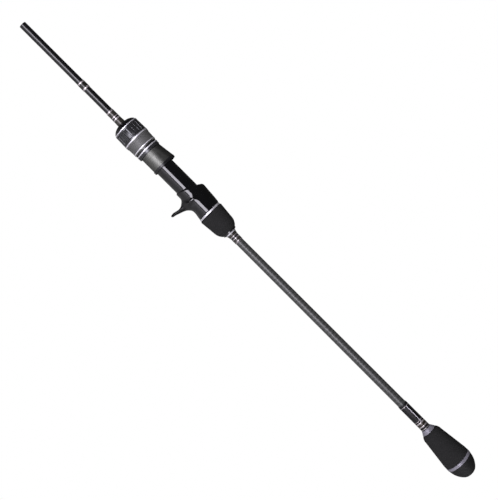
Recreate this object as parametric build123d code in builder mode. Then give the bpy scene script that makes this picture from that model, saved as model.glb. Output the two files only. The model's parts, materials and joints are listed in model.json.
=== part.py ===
from build123d import *
from math import cos, radians, sin
import os

# Butt section of a trigger casting rod: a hollow blank that runs through a trigger reel seat, a screw-down
# hood with its foregrip nut, two foam grips and the thread wraps between them.
# Millimetres. X runs along the blank from the tip end (-X) to the butt (+X), +Z is the reel side and -Z
# the trigger side. The origin is on the blank's axis, midway along the deck that the reel foot stands on.

os.makedirs("parts", exist_ok=True)

# ---- driving dimensions -------------------------------------------------------------------------------
# Blank: its outside radius at four stations
TIP_X = -219.5
TIP_R = 3.75
FERRULE_LENGTH = 60.0
SEAT_STATION_R = 3.90
GRIP_STATION_R = 4.22
BUTT_STATION_R = 4.68
BLANK_WALL = 1.0

# Reel seat
BARREL_R = 10.2
SEAT_WALL = 2.6
SEAT_REAR_X = 44.6
SPIGOT_LENGTH = 7.4
SPIGOT_WALL = 1.4
KEYWAY_WIDTH = 4.0
KEYWAY_DEPTH = 0.9
KEYWAY_REAR_X = -21.0
ARBOR_LENGTH = 15.0
MIDDLE_ARBOR_X = -22.0
REAR_ARBOR_X = 22.0

# Rear body of the seat: the fixed hood above, the trigger below. Heights are above the barrel's surface
HEEL_X = 8.9
SHOULDER_X = 17.5
HOOD_LIP_X = 21.5
LIP_RISE = 5.0
BODY_FRONT_RISE = 1.4
BODY_WAIST_X = 37.2
BODY_WAIST_RISE = 1.25
BODY_WAIST_TOP_RISE = 3.95
BODY_REAR_RISE = 2.7
BODY_REAR_TOP_RISE = 3.2
FOOT_WIDTH = 13.6
FOOT_SINK = 3.0
FIXED_POCKET_DEPTH = 12.0
FIXED_ROOF_WALL = 1.3
FIXED_POCKET_END_RISE = 2.0
INSERT_THICKNESS = 0.7
INSERT_WIDTH = 10.0
INSERT_END_GAP = 4.0

# Screw thread between seat and nut (single start, right handed)
THREAD_PITCH = 3.0
THREAD_DEPTH = 0.7
THREAD_CREST = 0.7
THREAD_ROOT = 1.5
THREAD_CLEARANCE = 0.15
THREAD_FLANK_CLEARANCE = 0.2
THREAD_EMBED = 0.15
THREAD_LEAD_IN = 2.0
THREAD_LENGTH = 27.0
THREAD_RUNOUT = 4.0
NUT_THREAD_RUNOUT = 1.8

# Sliding hood. Heights are above the barrel's surface
RUNNING_CLEARANCE = 0.08
SLIDER_WALL = 0.62
SHELL_WALL = 0.5
HOOD_FRONT_X = -38.8
HOOD_REAR_X = -18.5
HOOD_FRONT_RISE = 2.0
HOOD_REAR_RISE = 4.4
HOOD_FRONT_ROOF = 0.8
HOOD_REAR_ROOF = -0.8
RIM_LENGTH = 3.0
RIM_PROUD = 0.6
RIM_EDGE = 0.9
POCKET_DEPTH = 15.0
POCKET_ROOF_WALL = 1.1
POCKET_END_RISE = 0.9
KEY_LENGTH = 8.0
KEY_CLEARANCE = 0.15
NECK_WALL = 0.82
FLANGE_LIP = 0.6
FLANGE_THICKNESS = 0.8
AXIAL_CLEARANCE = 0.1

# Locking nut, stacked forward from its rear face, which follows the hood
HOOD_GAP = 0.2
RETAINER_LENGTH = 3.2
RETAINER_PROUD = 0.5
TAIL_RING_LENGTH = 1.2
GROOVE_LENGTH = 1.9
GROOVE_PROUD = 0.3
KNURL_LENGTH = 1.1
REAR_RING_LENGTH = 1.1
LABEL_BAND_LENGTH = 10.0
LABEL_STEP_LENGTH = 2.5
MIDDLE_RING_LENGTH = 1.5
RIBBED_LENGTH = 13.5
FRONT_RING_LENGTH = 1.2
CAP_LENGTH = 5.3
CAP_WALL = 4.0
CAP_PROUD = 1.0
CORE_WALL = 0.7
SLEEVE_WALL = 1.5
WASHER_THICKNESS = 0.5
SPIGOT_DEPTH = 0.5
FLUTES = 20
FLUTE_START_ANGLE = 3.0
FLUTE_WIDTH = 1.1
FLUTE_DEPTH = 0.5
FLUTE_END = 1.6
KNURLS = 40
KNURL_GAP = 0.8
KNURL_DEPTH = 0.25
NUT_BLANK_CLEARANCE = 0.35
NUT_CLOSING_TRAVEL = 8.0
NUT_END_GAP = 1.0

# Grips and trim behind the seat. Heights are above the barrel's surface
SEAT_RING_LENGTH = 2.0
SEAT_RING_RISE = 2.9
REAR_GRIP_LENGTH = 26.4
REAR_GRIP_FRONT_RISE = 3.6
REAR_GRIP_TAPER_LENGTH = 10.0
REAR_GRIP_TAPER_RISE = 2.1
REAR_GRIP_END_BUILD = 3.7
REAR_GRIP_SPIGOT_GAP = 8.0
GRIP_CHECK_LENGTH = 1.7
WINDING_CHECK_LENGTH = 1.3

# Butt
BUTT_CHECK_LENGTH = 4.0
BUTT_CHECK_BUILD = 3.2
BUTT_GRIP_LENGTH = 40.0
BUTT_GRIP_R = 14.5
BUTT_GRIP_FRONT_R = 10.6
BUTT_GRIP_START_BUILD = 2.5
BUTT_RING_LENGTH = 3.2
BUTT_CAP_LENGTH = 16.9
CAP_SPIGOT_WALL = 5.5
CAP_SPIGOT_LENGTH = 6.0
BLANK_IN_CAP = 2.0
PLUG_LENGTH = 14.0

# Thread wraps: how far each stands above the blank
WRAP_BUILD = 0.3
TRIM_BUILD = 0.38
FRONT_WRAP_GAP = 22.0
FRONT_WRAP_LENGTH = 9.0
FRONT_TRIM_LENGTH = 1.8
SEAT_WRAP_SHOWN = 17.3
SEAT_WRAP_FLARE = 0.6
LABEL_WRAP_X = 317.5
LABEL_BUILD = 0.5
LABEL_RING_BUILD = 0.6
LABEL_LENGTH = 19.4
# (length, build) of the label sleeve's sections, from the tip side
LABEL_SECTIONS = [
    (2.3, LABEL_BUILD),
    (0.5, LABEL_RING_BUILD),
    (LABEL_LENGTH, LABEL_BUILD),
    (0.5, LABEL_RING_BUILD),
    (1.7, LABEL_BUILD),
    (1.3, LABEL_RING_BUILD),
    (2.9, LABEL_BUILD),
    (1.1, LABEL_RING_BUILD),
    (2.3, LABEL_BUILD),
    (0.5, LABEL_RING_BUILD),
    (1.0, LABEL_BUILD),
]

# ---- worked out from the above -------------------------------------------------------------------------
SEAT_BORE_R = BARREL_R - SEAT_WALL
SEAT_SPIGOT_R = SEAT_BORE_R + SPIGOT_WALL
THREAD_ROOT_R = BARREL_R - THREAD_DEPTH
NUT_ROOT_R = BARREL_R + THREAD_CLEARANCE
NUT_CREST_R = THREAD_ROOT_R + THREAD_CLEARANCE
SLIDER_R = BARREL_R + RUNNING_CLEARANCE
SLIDER_OUT_R = SLIDER_R + SLIDER_WALL
SHELL_OUT_R = SLIDER_OUT_R + SHELL_WALL
NECK_R = SLIDER_R + NECK_WALL
FLANGE_R = NECK_R + FLANGE_LIP
COUNTERBORE_R = FLANGE_R + AXIAL_CLEARANCE
CORE_R = COUNTERBORE_R + CORE_WALL
SLEEVE_R = CORE_R + SLEEVE_WALL

HOOD_LIP_Z = BARREL_R + LIP_RISE
BODY_FRONT_R = BARREL_R + BODY_FRONT_RISE
BODY_REAR_R = BARREL_R + BODY_REAR_RISE
BODY_REAR_Z = BARREL_R + BODY_REAR_TOP_RISE
HOOD_FRONT_Z = BARREL_R + HOOD_FRONT_RISE
HOOD_REAR_Z = BARREL_R + HOOD_REAR_RISE
HOOD_FRONT_ROOF_R = BARREL_R + HOOD_FRONT_ROOF
HOOD_REAR_ROOF_R = BARREL_R + HOOD_REAR_ROOF

NUT_REAR_X = HOOD_FRONT_X - HOOD_GAP
TAIL_X = NUT_REAR_X - RETAINER_LENGTH
TAIL_RING_X = TAIL_X - TAIL_RING_LENGTH
GROOVE_X = TAIL_RING_X - GROOVE_LENGTH
KNURL_X = GROOVE_X - KNURL_LENGTH
REAR_RING_X = KNURL_X - REAR_RING_LENGTH
LABEL_BAND_X = REAR_RING_X - LABEL_BAND_LENGTH
MIDDLE_RING_X = LABEL_BAND_X - MIDDLE_RING_LENGTH
RIBBED_X = MIDDLE_RING_X - RIBBED_LENGTH
FRONT_RING_X = RIBBED_X - FRONT_RING_LENGTH
CAP_X = FRONT_RING_X - CAP_LENGTH
CORE_FRONT_X = CAP_X + CAP_WALL
FLANGE_REAR_X = TAIL_X - SPIGOT_DEPTH - AXIAL_CLEARANCE
FLANGE_FRONT_X = FLANGE_REAR_X - FLANGE_THICKNESS
WASHER_X = FLANGE_FRONT_X - AXIAL_CLEARANCE - WASHER_THICKNESS

# The barrel stops short of the nut's cap even when the nut is screwed all the way on
BARREL_FRONT_X = CORE_FRONT_X + NUT_CLOSING_TRAVEL + NUT_END_GAP
THREAD_START_X = BARREL_FRONT_X + THREAD_LEAD_IN
THREAD_TURNS = THREAD_LENGTH / THREAD_PITCH
SMOOTH_BARREL_X = THREAD_START_X + THREAD_LENGTH + THREAD_RUNOUT
# The nut's ridge sits half a pitch off the seat's
NUT_THREAD_X = THREAD_START_X + 2.5 * THREAD_PITCH
NUT_THREAD_TURNS = (WASHER_X - NUT_THREAD_RUNOUT - NUT_THREAD_X) / THREAD_PITCH
SEAT_STATION_X = BARREL_FRONT_X - 4.0
ARBOR_STARTS = (BARREL_FRONT_X + 3.0, MIDDLE_ARBOR_X, REAR_ARBOR_X)

SPIGOT_END_X = SEAT_REAR_X + SPIGOT_LENGTH
GRIP_STATION_X = SPIGOT_END_X + REAR_GRIP_SPIGOT_GAP
SEAT_RING_X = SEAT_REAR_X
SEAT_RING_R = BARREL_R + SEAT_RING_RISE
REAR_GRIP_X = SEAT_RING_X + SEAT_RING_LENGTH
REAR_GRIP_END_X = REAR_GRIP_X + REAR_GRIP_LENGTH
REAR_GRIP_TAPER_X = REAR_GRIP_END_X - REAR_GRIP_TAPER_LENGTH
REAR_GRIP_FRONT_R = BARREL_R + REAR_GRIP_FRONT_RISE
REAR_GRIP_TAPER_R = BARREL_R + REAR_GRIP_TAPER_RISE
GRIP_CHECK_X = REAR_GRIP_END_X
WINDING_CHECK_X = GRIP_CHECK_X + GRIP_CHECK_LENGTH
REAR_WRAP_X = WINDING_CHECK_X + WINDING_CHECK_LENGTH
FRONT_WRAP_X = TIP_X + FERRULE_LENGTH + FRONT_WRAP_GAP
SEAT_WRAP_X = CAP_X - SEAT_WRAP_SHOWN
BUTT_CHECK_X = LABEL_WRAP_X + sum(length for length, build in LABEL_SECTIONS)
BUTT_GRIP_X = BUTT_CHECK_X + BUTT_CHECK_LENGTH
BUTT_GRIP_END_X = BUTT_GRIP_X + BUTT_GRIP_LENGTH
BUTT_STATION_X = BUTT_GRIP_END_X + BLANK_IN_CAP
BUTT_CAP_X = BUTT_GRIP_END_X + BUTT_RING_LENGTH
BUTT_END_X = BUTT_CAP_X + BUTT_CAP_LENGTH
CAP_SPIGOT_R = BUTT_GRIP_R - CAP_SPIGOT_WALL

BLANK_STATIONS = [
    (TIP_X, TIP_R),
    (TIP_X + FERRULE_LENGTH, TIP_R),
    (SEAT_STATION_X, SEAT_STATION_R),
    (GRIP_STATION_X, GRIP_STATION_R),
    (BUTT_STATION_X, BUTT_STATION_R),
]


def blank_r(x):
    """The blank's outside radius at x, straight between its stations."""
    for (x0, r0), (x1, r1) in zip(BLANK_STATIONS, BLANK_STATIONS[1:]):
        if x <= x1:
            return r0 + (r1 - r0) * (x - x0) / (x1 - x0)
    return BUTT_STATION_R


def turned(*outlines):
    """One ring about the X axis for each closed outline of (x, radius) points."""
    with BuildPart() as ring:
        with BuildSketch(Plane.XZ):
            for outline in outlines:
                with BuildLine():
                    Polyline(*outline, close=True)
                make_face()
        revolve(axis=Axis.X)
    return ring


def plain_ring(x, length, inner_r, outer_r, edge=0.2):
    """Outline of a square ring whose two outer corners are broken by edge."""
    end = x + length
    return [
        (x, inner_r),
        (end, inner_r),
        (end, outer_r - edge),
        (end - edge, outer_r),
        (x + edge, outer_r),
        (x, outer_r - edge),
    ]


def wrapped(x, length, front_build, rear_build=None):
    """Outline of a winding that lies on the tapered blank from x to x + length."""
    end = x + length
    if rear_build is None:
        rear_build = front_build
    return [
        (x, blank_r(x)),
        (end, blank_r(end)),
        (end, blank_r(end) + rear_build),
        (x, blank_r(x) + front_build),
    ]


def keep(piece, name):
    """Labels a finished piece and writes it as parts/name.step."""
    piece.part.label = name
    export_step(piece.part, f"parts/{name}.step")


# ---- blank ---------------------------------------------------------------------------------------------
# A tapered carbon tube; its first stretch is straight, the male ferrule that plugs into the tip section.
inner_line = [(x, r - BLANK_WALL) for x, r in reversed(BLANK_STATIONS)]
blank = turned(BLANK_STATIONS + inner_line)
keep(blank, "blank")

# Plug in the blank's butt end
plug_x = BUTT_STATION_X - PLUG_LENGTH
with BuildPart() as butt_plug:
    with BuildSketch(Plane.XZ):
        with BuildLine():
            Polyline(
                (plug_x, 0),
                (BUTT_STATION_X, 0),
                (BUTT_STATION_X, blank_r(BUTT_STATION_X) - BLANK_WALL),
                (plug_x, blank_r(plug_x) - BLANK_WALL),
                close=True,
            )
        make_face()
    revolve(axis=Axis.X)
keep(butt_plug, "butt_plug")


# ---- reel seat -----------------------------------------------------------------------------------------
def egg(base_r, roof_r, top_z):
    """Sketch of a hood's section: a round base and a smaller round roof whose top is at top_z."""
    Circle(base_r)
    with Locations((0, top_z - roof_r)):
        Circle(roof_r)
    make_hull()


def ridge_half(height):
    """Half the width of the seat's thread ridge at a height above the thread's root."""
    return (THREAD_ROOT + (THREAD_CREST - THREAD_ROOT) * height / THREAD_DEPTH) / 2


def nut_ridge_half(r):
    """Half the width of the nut's thread ridge at radius r, clear of the seat's thread by the clearance."""
    return THREAD_PITCH / 2 - ridge_half(r - THREAD_ROOT_R) - THREAD_FLANK_CLEARANCE


# (depth below the barrel's surface, front, rear, ridge, half width); the x values count from the hood's lip
TRIGGER_SECTIONS = [
    (-BARREL_R, -7.0, 15.0, 3.5, BARREL_R + 0.6),
    (-0.4 * BARREL_R, -6.0, 13.5, 3.1, BARREL_R - 0.8),
    (1.6, -4.5, 10.7, 2.4, BARREL_R - 2.2),
    (4.3, -2.0, 7.5, 2.0, 7.0),
    (7.8, 0.0, 5.4, 1.6, 6.2),
    (12.8, -0.2, 3.6, 1.1, 5.2),
    (17.8, -1.0, 2.1, 0.3, 4.2),
    (20.8, -0.5, 0.8, 0.1, 1.6),
]

body_slope = (BODY_REAR_Z - HOOD_LIP_Z) / (SEAT_REAR_X - HOOD_LIP_X)
body_front_x = HEEL_X - 3
body_front_z = HOOD_LIP_Z + body_slope * (body_front_x - HOOD_LIP_X)
pocket_floor = BARREL_R - FOOT_SINK
pocket_front_x = SHOULDER_X - 1
pocket_rear_x = HOOD_LIP_X + FIXED_POCKET_DEPTH
pocket_front_z = HOOD_LIP_Z - FIXED_ROOF_WALL
pocket_rear_z = BARREL_R + FIXED_POCKET_END_RISE
body_roof_r = BODY_FRONT_R - 1.0
pocket_roof_r = body_roof_r - FIXED_ROOF_WALL


def pocket_roof(x):
    """Height of the fixed hood's pocket roof at x."""
    share = (x - pocket_front_x) / (pocket_rear_x - pocket_front_x)
    return pocket_front_z + (pocket_rear_z - pocket_front_z) * share


with BuildPart() as seat_body:
    # rear body, swelling from the heel to the seat's rear face
    with BuildSketch(Plane.YZ.offset(body_front_x)):
        egg(BODY_FRONT_R, body_roof_r, body_front_z)
    with BuildSketch(Plane.YZ.offset(BODY_WAIST_X)):
        egg(BARREL_R + BODY_WAIST_RISE, BARREL_R + BODY_WAIST_RISE - 0.5, BARREL_R + BODY_WAIST_TOP_RISE)
    with BuildSketch(Plane.YZ.offset(SEAT_REAR_X)):
        egg(BODY_REAR_R, BODY_REAR_R - 0.3, BODY_REAR_Z)
    loft(ruled=True)
    # its slanted front, from the heel up to the lip of the fixed hood
    with BuildSketch(Plane.XZ):
        with BuildLine():
            Polyline(
                (body_front_x - 1, -2 * BARREL_R),
                (HEEL_X - 3.2, -2 * BARREL_R),
                (SHOULDER_X, BARREL_R),
                (HOOD_LIP_X - 1.6, HOOD_LIP_Z - 0.7),
                (HOOD_LIP_X + 0.2, HOOD_LIP_Z + 0.1),
                (HOOD_LIP_X + 0.2, 3 * BARREL_R),
                (body_front_x - 1, 3 * BARREL_R),
                close=True,
            )
        make_face()
    extrude(amount=2 * BARREL_R, both=True, mode=Mode.SUBTRACT)
    # trigger
    for depth, *xs, half_width in TRIGGER_SECTIONS:
        front, rear, ridge = [HOOD_LIP_X + x for x in xs]
        with BuildSketch(Plane.XY.offset(-BARREL_R - depth)):
            with BuildLine():
                ThreePointArc((ridge, -half_width), (front, 0), (ridge, half_width))
                ThreePointArc((ridge, half_width), (rear, 0), (ridge, -half_width))
            make_face()
    loft()
    # pocket for the rear end of the reel foot, lower towards its closed end
    for x in (pocket_front_x, pocket_rear_x):
        with BuildSketch(Plane.YZ.offset(x)):
            with Locations((0, pocket_roof(x) - pocket_roof_r)):
                Circle(pocket_roof_r)
            with Locations((0, pocket_floor)):
                Rectangle(FOOT_WIDTH, 2 * BARREL_R, align=(Align.CENTER, Align.MIN), mode=Mode.INTERSECT)
    loft(ruled=True, mode=Mode.SUBTRACT)
    # barrel: full size under the deck, at the root of the thread in front of it
    with BuildSketch(Plane.YZ.offset(SMOOTH_BARREL_X)):
        Circle(BARREL_R)
    extrude(amount=SEAT_REAR_X - SMOOTH_BARREL_X)
    with BuildSketch(Plane.YZ.offset(BARREL_FRONT_X)):
        Circle(THREAD_ROOT_R)
    extrude(amount=SMOOTH_BARREL_X - BARREL_FRONT_X)
    # spigot that carries the ring and the grip
    with BuildSketch(Plane.YZ.offset(SEAT_REAR_X)):
        Circle(SEAT_SPIGOT_R)
    extrude(amount=SPIGOT_LENGTH)
    # thread
    with BuildLine() as seat_helix:
        Helix(
            THREAD_PITCH,
            THREAD_PITCH * THREAD_TURNS,
            THREAD_ROOT_R,
            center=(THREAD_START_X, 0, 0),
            direction=(1, 0, 0),
        )
    with BuildSketch(Plane(origin=seat_helix.line @ 0, x_dir=(0, 0, 1), z_dir=seat_helix.line % 0)):
        with BuildLine():
            Polyline(
                (-THREAD_EMBED, -ridge_half(-THREAD_EMBED)),
                (THREAD_DEPTH, -ridge_half(THREAD_DEPTH)),
                (THREAD_DEPTH, ridge_half(THREAD_DEPTH)),
                (-THREAD_EMBED, ridge_half(-THREAD_EMBED)),
                close=True,
            )
        make_face()
    sweep(path=seat_helix.line, is_frenet=True)
    # keyway along the underside, for the sliding hood's key
    with BuildSketch(Plane.YZ.offset(BARREL_FRONT_X)):
        with Locations((0, -BARREL_R + KEYWAY_DEPTH)):
            Rectangle(KEYWAY_WIDTH, 2 * KEYWAY_DEPTH, align=(Align.CENTER, Align.MAX))
    extrude(amount=KEYWAY_REAR_X - BARREL_FRONT_X, mode=Mode.SUBTRACT)
    # bore
    with BuildSketch(Plane.YZ.offset(BARREL_FRONT_X)):
        Circle(SEAT_BORE_R)
    extrude(amount=SEAT_REAR_X + SPIGOT_LENGTH - BARREL_FRONT_X, mode=Mode.SUBTRACT)
keep(seat_body, "seat_body")

# Cushion under the fixed hood's roof, which the foot's rear end slides under
insert_rear_x = HOOD_LIP_X + FIXED_POCKET_DEPTH - INSERT_END_GAP
with BuildPart() as fixed_hood_insert:
    for x in (HOOD_LIP_X, insert_rear_x):
        with BuildSketch(Plane.YZ.offset(x)):
            with Locations((0, pocket_roof(x) - pocket_roof_r)):
                Circle(pocket_roof_r)
                Circle(pocket_roof_r - INSERT_THICKNESS, mode=Mode.SUBTRACT)
            with Locations((0, pocket_roof(x) - pocket_roof_r)):
                Rectangle(INSERT_WIDTH, 2 * BARREL_R, align=(Align.CENTER, Align.MIN), mode=Mode.INTERSECT)
    loft(ruled=True)
keep(fixed_hood_insert, "fixed_hood_insert")

# Bushings that centre the blank in the seat's bore
arbor_outlines = []
for x in ARBOR_STARTS:
    end = x + ARBOR_LENGTH
    arbor_outlines.append([(x, blank_r(x)), (end, blank_r(end)), (end, SEAT_BORE_R), (x, SEAT_BORE_R)])
seat_arbors = turned(*arbor_outlines)
keep(seat_arbors, "seat_arbors")


# ---- sliding hood --------------------------------------------------------------------------------------
hood_roof_slope = (HOOD_REAR_Z - HOOD_FRONT_Z) / (HOOD_REAR_X - 2 - HOOD_FRONT_X)
rim_x = HOOD_REAR_X - RIM_LENGTH
# (x, top of the shell, radius of its roof)
hood_front = (HOOD_FRONT_X, HOOD_FRONT_Z, HOOD_FRONT_ROOF_R)
hood_rim = (rim_x, HOOD_REAR_Z - hood_roof_slope, HOOD_REAR_ROOF_R)

# Plastic slider: neck and flange that the nut holds, key, pocket for the front end of the reel foot, rim
with BuildPart() as hood_slider:
    for x, top_z, roof_r in (hood_front, hood_rim):
        with BuildSketch(Plane.YZ.offset(x)):
            egg(SLIDER_OUT_R, roof_r - SHELL_WALL, top_z - SHELL_WALL)
    loft(ruled=True)
    with BuildSketch(Plane.YZ.offset(rim_x)):
        egg(SHELL_OUT_R + RIM_PROUD, HOOD_REAR_ROOF_R + 0.2, HOOD_REAR_Z + 0.1)
    extrude(amount=RIM_LENGTH)
    rim_edges = hood_slider.faces().sort_by(Axis.X)[-1].edges()
    fillet(rim_edges, RIM_EDGE)
    # pocket, open at the rim and lower towards its closed end
    for x, roof_z, roof_r in (
        (HOOD_REAR_X - POCKET_DEPTH, SLIDER_R + POCKET_END_RISE, HOOD_FRONT_ROOF_R - POCKET_ROOF_WALL),
        (HOOD_REAR_X, HOOD_REAR_Z - POCKET_ROOF_WALL, HOOD_REAR_ROOF_R - POCKET_ROOF_WALL),
    ):
        with BuildSketch(Plane.YZ.offset(x)):
            with Locations((0, roof_z - roof_r)):
                Circle(roof_r)
            with Locations((0, pocket_floor)):
                Rectangle(
                    FOOT_WIDTH, 2 * BARREL_R, align=(Align.CENTER, Align.MIN), mode=Mode.INTERSECT
                )
    loft(ruled=True, mode=Mode.SUBTRACT)
    # neck and the flange at its front end
    with BuildSketch(Plane.YZ.offset(FLANGE_FRONT_X)):
        Circle(NECK_R)
    extrude(amount=HOOD_FRONT_X - FLANGE_FRONT_X)
    with BuildSketch(Plane.YZ.offset(FLANGE_FRONT_X)):
        Circle(FLANGE_R)
    extrude(amount=FLANGE_THICKNESS)
    # bore over the barrel, leaving the key that runs in the keyway
    with BuildSketch(Plane.YZ.offset(FLANGE_FRONT_X)):
        Circle(SLIDER_R)
    extrude(amount=HOOD_REAR_X - FLANGE_FRONT_X, mode=Mode.SUBTRACT)
    with BuildSketch(Plane.YZ.offset(HOOD_FRONT_X)):
        with Locations((0, -BARREL_R + KEYWAY_DEPTH - KEY_CLEARANCE)):
            Rectangle(
                KEYWAY_WIDTH - 2 * KEY_CLEARANCE,
                KEYWAY_DEPTH - KEY_CLEARANCE + RUNNING_CLEARANCE + SLIDER_WALL / 2,
                align=(Align.CENTER, Align.MAX),
            )
    extrude(amount=KEY_LENGTH)
keep(hood_slider, "hood_slider")

# Metal shell pressed over the slider
with BuildPart() as hood_shell:
    for x, top_z, roof_r in (hood_front, hood_rim):
        with BuildSketch(Plane.YZ.offset(x)):
            egg(SHELL_OUT_R, roof_r, top_z)
    loft(ruled=True)
    for x, top_z, roof_r in (hood_front, hood_rim):
        with BuildSketch(Plane.YZ.offset(x)):
            egg(SLIDER_OUT_R, roof_r - SHELL_WALL, top_z - SHELL_WALL)
    loft(ruled=True, mode=Mode.SUBTRACT)
keep(hood_shell, "hood_shell")


# ---- locking nut ---------------------------------------------------------------------------------------
# Threaded core, with the counterbore that takes the hood's flange at its rear end
with BuildPart() as nut_core:
    with BuildSketch(Plane.XZ):
        with BuildLine():
            Polyline(
                (CORE_FRONT_X, NUT_ROOT_R),
                (WASHER_X, NUT_ROOT_R),
                (WASHER_X, COUNTERBORE_R),
                (TAIL_X, COUNTERBORE_R),
                (TAIL_X, CORE_R),
                (TAIL_RING_X, CORE_R),
                (TAIL_RING_X, CORE_R + GROOVE_PROUD),
                (GROOVE_X, CORE_R + GROOVE_PROUD),
                (GROOVE_X, CORE_R),
                (CORE_FRONT_X, CORE_R),
                close=True,
            )
        make_face()
    revolve(axis=Axis.X)
    with BuildLine() as nut_helix:
        Helix(
            THREAD_PITCH,
            THREAD_PITCH * NUT_THREAD_TURNS,
            NUT_ROOT_R,
            center=(NUT_THREAD_X, 0, 0),
            direction=(1, 0, 0),
        )
    with BuildSketch(Plane(origin=nut_helix.line @ 0, x_dir=(0, 0, 1), z_dir=nut_helix.line % 0)):
        with BuildLine():
            Polyline(
                (THREAD_EMBED, -nut_ridge_half(NUT_ROOT_R + THREAD_EMBED)),
                (NUT_CREST_R - NUT_ROOT_R, -nut_ridge_half(NUT_CREST_R)),
                (NUT_CREST_R - NUT_ROOT_R, nut_ridge_half(NUT_CREST_R)),
                (THREAD_EMBED, nut_ridge_half(NUT_ROOT_R + THREAD_EMBED)),
                close=True,
            )
        make_face()
    sweep(path=nut_helix.line, is_frenet=True)
keep(nut_core, "nut_core")

# Domed front cap, with the hole that the blank and its wrap pass through
nut_hole_r = SEAT_STATION_R + SEAT_WRAP_FLARE + NUT_BLANK_CLEARANCE
cap_shoulder_r = CORE_R + 0.3
with BuildPart() as nut_front_cap:
    with BuildSketch(Plane.XZ):
        with BuildLine():
            ThreePointArc(
                (CAP_X, nut_hole_r + 0.4), (CAP_X + 1.2, CORE_R - 3.0), (CORE_FRONT_X - 0.2, cap_shoulder_r)
            )
            Polyline(
                (CORE_FRONT_X - 0.2, cap_shoulder_r),
                (FRONT_RING_X, CORE_R + CAP_PROUD),
                (FRONT_RING_X, CORE_R),
                (CORE_FRONT_X, CORE_R),
                (CORE_FRONT_X, nut_hole_r),
                (CAP_X, nut_hole_r),
                (CAP_X, nut_hole_r + 0.4),
            )
        make_face()
    revolve(axis=Axis.X)
keep(nut_front_cap, "nut_front_cap")

# Silver rings between the nut's sleeves
nut_front_ring = turned(plain_ring(FRONT_RING_X, FRONT_RING_LENGTH, CORE_R, SLEEVE_R - 0.1))
keep(nut_front_ring, "nut_front_ring")
nut_middle_ring = turned(plain_ring(MIDDLE_RING_X, MIDDLE_RING_LENGTH, CORE_R, SLEEVE_R + 0.4))
keep(nut_middle_ring, "nut_middle_ring")
nut_rear_ring = turned(plain_ring(REAR_RING_X, REAR_RING_LENGTH, CORE_R, SLEEVE_R - 0.4))
keep(nut_rear_ring, "nut_rear_ring")
nut_tail_ring = turned(plain_ring(TAIL_RING_X, TAIL_RING_LENGTH, CORE_R, SLEEVE_R - 0.7))
keep(nut_tail_ring, "nut_tail_ring")

# Gripping sleeve, fluted lengthways
with BuildPart() as nut_ribbed_sleeve:
    with BuildSketch(Plane.XZ):
        with BuildLine():
            Polyline(
                (RIBBED_X, CORE_R),
                (MIDDLE_RING_X, CORE_R),
                (MIDDLE_RING_X, SLEEVE_R + 0.3),
                (RIBBED_X, SLEEVE_R),
                close=True,
            )
        make_face()
    revolve(axis=Axis.X)
    flute_x = RIBBED_X + RIBBED_LENGTH / 2
    for k in range(FLUTES):
        angle = radians(FLUTE_START_ANGLE + 360 * k / FLUTES)
        outward = Vector(0, cos(angle), sin(angle))
        with BuildSketch(Plane(Vector(flute_x, 0, 0) + outward * (SLEEVE_R + 1), (1, 0, 0), outward)):
            SlotOverall(RIBBED_LENGTH - 2 * FLUTE_END, FLUTE_WIDTH)
        extrude(amount=-FLUTE_DEPTH - 1, mode=Mode.SUBTRACT)
keep(nut_ribbed_sleeve, "nut_ribbed_sleeve")

# Plain sleeve behind the middle ring, stepped where its raised front edge ends
step_x = LABEL_BAND_X + LABEL_STEP_LENGTH
nut_plain_sleeve = turned(
    [
        (LABEL_BAND_X, CORE_R),
        (REAR_RING_X, CORE_R),
        (REAR_RING_X, SLEEVE_R - 0.6),
        (step_x, SLEEVE_R - 0.3),
        (step_x - 0.3, SLEEVE_R),
        (LABEL_BAND_X, SLEEVE_R + 0.3),
    ]
)
keep(nut_plain_sleeve, "nut_plain_sleeve")

# Knurled ring
knurl_r = SLEEVE_R - 0.6
with BuildPart() as nut_knurled_ring:
    with BuildSketch(Plane.YZ.offset(KNURL_X)):
        Circle(knurl_r)
        with PolarLocations(knurl_r, KNURLS):
            Rectangle(2 * KNURL_DEPTH, KNURL_GAP, mode=Mode.SUBTRACT)
        Circle(CORE_R, mode=Mode.SUBTRACT)
    extrude(amount=KNURL_LENGTH)
keep(nut_knurled_ring, "nut_knurled_ring")

# Washer and retainer on either side of the hood's flange
thrust_washer = turned(plain_ring(WASHER_X, WASHER_THICKNESS, SLIDER_R, COUNTERBORE_R, 0.05))
keep(thrust_washer, "thrust_washer")
retainer_bore_r = NECK_R + KEY_CLEARANCE
nut_retainer = turned(
    [
        (TAIL_X - SPIGOT_DEPTH, retainer_bore_r),
        (NUT_REAR_X, retainer_bore_r),
        (NUT_REAR_X, CORE_R + RETAINER_PROUD - 0.4),
        (NUT_REAR_X - 0.4, CORE_R + RETAINER_PROUD),
        (TAIL_X, CORE_R + RETAINER_PROUD),
        (TAIL_X, COUNTERBORE_R),
        (TAIL_X - SPIGOT_DEPTH, COUNTERBORE_R),
    ]
)
keep(nut_retainer, "nut_retainer")


# ---- rear seat grip ------------------------------------------------------------------------------------
seat_ring = turned(plain_ring(SEAT_RING_X, SEAT_RING_LENGTH, SEAT_SPIGOT_R, SEAT_RING_R, 0.3))
keep(seat_ring, "seat_ring")

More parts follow.
